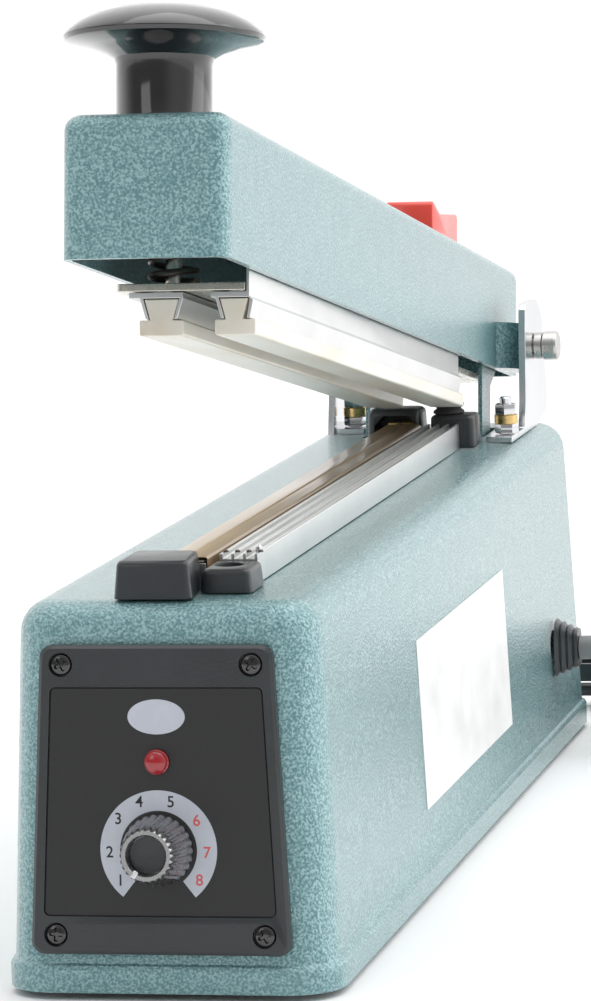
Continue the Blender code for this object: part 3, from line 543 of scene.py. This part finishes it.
def soften(thing, width, segments=2):
    edge = thing.modifiers.new("soft_edges", "BEVEL")
    edge.width = width * MM
    edge.segments = segments
    edge.limit_method = "ANGLE"
    edge.angle_limit = math.radians(30.0)
    return thing


def arc_band(inner, outer, start_deg, end_deg, y0, y1, steps=72):
    rings = []
    for k in range(steps + 1):
        a = math.radians(start_deg + (end_deg - start_deg) * k / steps)
        c, w = math.cos(a), math.sin(a)
        rings.append([(inner * c, y0, inner * w), (outer * c, y0, outer * w), (outer * c, y1, outer * w),
                      (inner * c, y1, inner * w)])
    return loft(rings)


def numeral(text, x, up, size, finish):
    """One dial number, as a thin print on the plate."""
    curve = bpy.data.curves.new("numeral_%s" % text, "FONT")
    curve.body = text
    curve.size = size
    curve.extrude = 0.012
    curve.offset = 0.05
    curve.align_x = "CENTER"
    curve.align_y = "CENTER"
    source = bpy.data.objects.new("numeral_source", curve)
    bpy.context.collection.objects.link(source)
    bpy.context.view_layer.update()
    mesh = bpy.data.meshes.new_from_object(source.evaluated_get(bpy.context.evaluated_depsgraph_get()))
    bpy.data.objects.remove(source, do_unlink=True)
    mesh.name = "dial_number_%s" % text
    mesh.transform(facing_front(x, DIAL_UP + up, PLATE_FRONT - 0.03))
    mesh.materials.clear()
    mesh.materials.append(finish)
    thing = bpy.data.objects.new("dial_number_%s" % text, mesh)
    bpy.context.collection.objects.link(thing)
    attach(thing, "base")


def build_panel_print(mats):
    dial = FACE @ Matrix.Translation((0.0, 0.0, DIAL_UP))
    band = arc_band(10.6, 16.1, -51.6, 231.6, -2.835, PLATE_FRONT)
    place("dial_arc", band, mats["dial_print"], "base", "printed_label", dial, 35.0)
    left_highlight_and_stain = [(-10.7, -8.3), (-13.5, -0.7), (-11.0, 8.3), (-5.1, 12.9),
             (3.6, 12.9), (10.6, 7.9), (13.3, -0.7), (11.1, -8.1)]
    for value, (x, up) in enumerate(left_highlight_and_stain, 1):
        red = value > 5
        numeral(str(value), x, up, 4.3, mats["red_print" if red else "black_print"])
    angles = [2 * math.pi * k / 64 for k in range(64)]
    ellipse = [(7.9 * math.cos(a), 4.7 * math.sin(a)) for a in angles]
    badge = FACE @ Matrix.Translation((0.0, 0.0, BADGE_UP))
    oval = prism(ellipse, "Y", -2.83, PLATE_FRONT)
    place("badge_blank", oval, mats["dial_print"], "base", "printed_label", badge)


def build_lamp(mats):
    profile = [(3.4, -2.9), (3.4, -3.3), (3.05, -3.5), (3.05, -4.4)]
    profile += [(3.05 * math.cos(a), -4.4 - 1.3 * math.sin(a)) for a in (0.3, 0.6, 0.9, 1.2, 1.45)]
    lamp = place("pilot_lamp_fine", turned(profile, 48, "Y"), mats["red_lens"], "base", "red_lens",
                 FACE @ Matrix.Translation((0.0, 0.0, LAMP_UP)), 50.0)
    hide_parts("pilot_lamp")


# ---------------------------------------------------------------- springs and small deck pieces
def build_springs(mats):
    for side, y in (("front", -361.0), ("rear", -60.0)):
        wound = coil_spring(6.5, 0.95, SPRING_LOW, SPRING_TOP, 8.0, (SPRING_X, y, 0.0))
        spring = place("press_coil_%s" % side, wound, mats["dark_steel"], "arm", "dark_steel", ARM)
        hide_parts("press_spring_%s" % side)
        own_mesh(spring)
    wound = coil_spring(4.0, 0.5, 300.0, 372.0, 34.0, (0.0, 0.0, 66.0), "Y")
    back = place("return_coil", wound, mats["plain_steel"], "base", "plain_steel")
    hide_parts("return_spring")


def build_deck_details(mats):
    # four small dark domes in a row on the rail's front top
    for x in (9.7, 13.0, 16.2, 19.5):
        head = turned([(0.75, 113.1), (0.75, 113.5), (0.4, 113.75)], 16, "Z", (x, 45.4, 0.0))
        place("rail_dark_dome_%d" % int(x), head, mats["dark_steel"], "base", "dark_steel")
    place("rail_pin", turned([(1.0, 112.0), (1.0, 113.9), (0.6, 114.3)], 20, "Z", (18.0, 50.0, 0.0)),
          mats["chrome_plate"], "base", "chrome_plate")
    corners = [(140.0, 23.0), (283.0, 23.0), (283.0, 73.0), (140.0, 73.0)]
    skin = [surface_at("base_housing", (90.0, y, z), (-1.0, 0.0, 0.0)) for y, z in corners]
    sticker = loft([[p + Vector((proud, 0.0, 0.0)) for p in skin] for proud in (0.02, 0.22)])
    place("side_sticker", sticker, mats["white_label"], "base", "printed_label")


# ---------------------------------------------------------------- mains lead
CORD_R = 4.0
LYING = CORD_R - RISE
COIL = Vector((112.0, 414.0))
OUTER_TURN, INNER_TURN = 46.1, 37.9
TAIL_Y = COIL.y + OUTER_TURN
ROUTE = [(53.3, 368.0, 34.0), (57.5, 368.0, 34.0), (61.5, 368.0, 33.5), (66.0, 368.0, 32.5),
         (72.0, 368.0, 30.7), (77.0, 368.0, 28.9), (81.5, 368.0, 27.1), (88.0, 368.0, 24.5),
         (94.0, 368.0, 22.2), (100.0, 368.0, 20.4), (106.0, 367.95, 19.1)]
TAIL = [(104.0, TAIL_Y, 2.55), (98.0, TAIL_Y, 3.9), (92.0, TAIL_Y, 5.55), (86.0, TAIL_Y, 7.05),
        (81.7, TAIL_Y, 7.8), (76.3, TAIL_Y, 8.0)]


def catmull(points, per_span=6):
    knots = [Vector(p) for p in points]
    knots = [knots[0] * 2 - knots[1]] + knots + [knots[-1] * 2 - knots[-2]]
    dense = []
    for a, b, c, d in zip(knots, knots[1:], knots[2:], knots[3:]):
        for i in range(per_span):
            t = i / per_span
            dense.append(0.5 * ((2 * b) + (c - a) * t + (2 * a - 5 * b + 4 * c - d) * t * t
                                + (3 * b - a - 3 * c + d) * t * t * t))
    dense.append(knots[-2])
    return dense


def eased(value, start, end):
    t = min(max((value - start) / (end - start), 0.0), 1.0)
    return t * t * (3.0 - 2.0 * t)


def coil_turns(turns=3.5, per_turn=36):
    """Turns laid two abreast from the top down, counted up from the bottom one.

    Each slips in, out or up by one cord only where its neighbours have left room.
    """
    step = OUTER_TURN - INNER_TURN
    points = []
    for i in range(int(turns * per_turn) + 1):
        turn = turns - i / per_turn
        inward = eased(turn, 0.62, 0.88) - eased(turn, 2.02, 2.28)
        layer = eased(turn, 1.30, 1.56) + eased(turn, 2.74, 2.98)
        radius = OUTER_TURN - step * inward
        angle = -0.5 * math.pi + 2.0 * math.pi * (turns - turn)
        x, y = COIL.x + radius * math.cos(angle), COIL.y + radius * math.sin(angle)
        points.append(Vector((x, y, LYING + 8.3 * layer)))
    return points


def build_cord(mats):
    line = catmull(ROUTE + coil_turns() + TAIL, 4)
    cord = place("mains_cord", tube(line, CORD_R - 0.02, 20), mats["grey_cord"], "base", "grey_cord",
                 smooth_deg=60.0)
    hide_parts("power_cord", "cord_coil", "cord_tail")
    build_tie(mats)


def build_tie(mats):
    """A flat strap round the bundle of turns."""
    hug = [(33.4, -1.85), (50.6, -1.85), (50.9, 22.9), (41.2, 22.9), (33.3, 12.5)]
    rings = []
    for half, grow in ((-3.5, 0.0), (-3.5, 0.9), (3.5, 0.9), (3.5, 0.0)):
        rings.append([(r + math.copysign(grow, r - 42.0), half, max(-1.98, z + math.copysign(grow, z - 9.5)))
                      for r, z in hug])
    strap = loft(rings + [rings[0]], caps=False)
    turn = MACHINE @ Matrix.Translation((COIL.x, COIL.y, 0.0)) @ Matrix.Rotation(math.radians(-61.0), 4, "Z")
    return place("cord_tie", strap, mats["black_rubber"], "base", "black_rubber", turn)


def build_relief(mats):
    """Tapered moulded relief with grip ribs, where the cord leaves the wall."""
    rings = []
    for k in range(15):
        x = 45.4 + 7.6 * k / 14
        share = k / 14
        groove = 0.55 if k % 4 in (2, 3) and k < 13 else 0.0
        half_y, half_z = 6.2 - 1.2 * share - groove, 9.6 - 3.4 * share - groove
        loop = []
        for i in range(32):
            a = 2.0 * math.pi * i / 32
            c, w = math.cos(a), math.sin(a)
            flat = (abs(c) ** 4 + abs(w) ** 4) ** -0.25
            loop.append((x, 368.0 + half_y * c * flat, 34.0 + half_z * w * flat))
        rings.append(loop)
    relief = place("strain_relief_fine", loft(rings), mats["black_plastic"], "base", "black_plastic",
                   smooth_deg=50.0)
    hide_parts("strain_relief")


# ---------------------------------------------------------------- putting it together
def main():
    camera()
    mats = build_materials()
    slots = {entry["node"]: entry["material_slot"] for entry in FRAME["record"]["subparts"]}
    for name, node in NODES.items():
        for slot in node.material_slots:
            slot.material = mats[slots[name]]
    bodies = {node: body for body, held in FRAME["record"]["behaviour"]["bodies"].items() for node in held}
    for name in NODES:
        if name not in COARSE:
            refine(name, mats[slots[name]], bodies.get(name, "base"))
    build_screws(mats)
    build_timer_knob(mats)
    build_panel_print(mats)
    build_lamp(mats)
    build_springs(mats)
    build_deck_details(mats)
    build_relief(mats)
    build_cord(mats)
    stage()


def smooth_ramp(nodes, low, high, top):
    """A map from low..high to 0..top that eases in and out."""
    made = nodes.new("ShaderNodeMapRange")
    made.interpolation_type = "SMOOTHSTEP"
    made.inputs["From Min"].default_value = low
    made.inputs["From Max"].default_value = high
    made.inputs["To Max"].default_value = top
    return made


def studio_world():
    """A white studio, darker behind the camera and brighter above and behind the object."""
    data = bpy.data.worlds.new("studio")
    data.use_nodes = True
    nodes, links = data.node_tree.nodes, data.node_tree.links
    coords = nodes.new("ShaderNodeTexCoord")
    split = nodes.new("ShaderNodeSeparateXYZ")
    links.new(coords.outputs["Generated"], split.inputs[0])
    total = None
    for axis, low, high, top in (("Y", -0.45, 0.3, 0.82), ("Z", 0.3, 0.95, 0.45), ("X", 0.1, 0.7, 0.3)):
        ramp = smooth_ramp(nodes, low, high, top)
        links.new(split.outputs[axis], ramp.inputs["Value"])
        add = nodes.new("ShaderNodeMath")
        links.new(ramp.outputs[0], add.inputs[0])
        if total is None:
            add.inputs[1].default_value = 0.3
        else:
            links.new(total, add.inputs[1])
        total = add.outputs[0]
    nodes["Background"].inputs[0].default_value = (1.0, 1.0, 1.0, 1.0)
    links.new(total, nodes["Background"].inputs[1])
    bpy.context.scene.world = data


def area(name, where, target, size, power):
    data = bpy.data.lights.new(name, "AREA")
    data.shape = "RECTANGLE"
    data.size, data.size_y = size
    data.energy = power
    lamp = bpy.data.objects.new(name, data)
    bpy.context.collection.objects.link(lamp)
    lamp.location = where
    lamp.rotation_euler = (Vector(target) - Vector(where)).to_track_quat("-Z", "Y").to_euler()


def stage():
    bpy.context.scene.view_settings.view_transform = "Standard"
    mesh = bpy.data.meshes.new("floor")
    edge = [(-8.0, -8.0, 0.0), (8.0, -8.0, 0.0), (8.0, 60.0, 0.0), (-8.0, 60.0, 0.0)]
    mesh.from_pydata(edge, [], [(0, 1, 2, 3)])
    t = Tree("floor")
    t.colour(t.mix(t.noise(3.0), (0.93, 0.93, 0.928), (0.945, 0.945, 0.945)))
    t.set(Roughness=0.8)
    mesh.materials.append(t.mat)
    floor = bpy.data.objects.new("floor", mesh)
    bpy.context.collection.objects.link(floor)
    studio_world()
    area("right_window", (1.9, 0.4, 0.9), (0.0, 0.0, 0.1), (1.4, 2.4), 9.0)
    area("overhead", (0.2, -0.1, 1.8), (0.0, 0.0, 0.1), (1.6, 1.6), 9.0)
    area("front_left", (-1.1, -1.9, 1.1), (0.0, 0.0, 0.1), (0.9, 0.9), 3.0)


main()
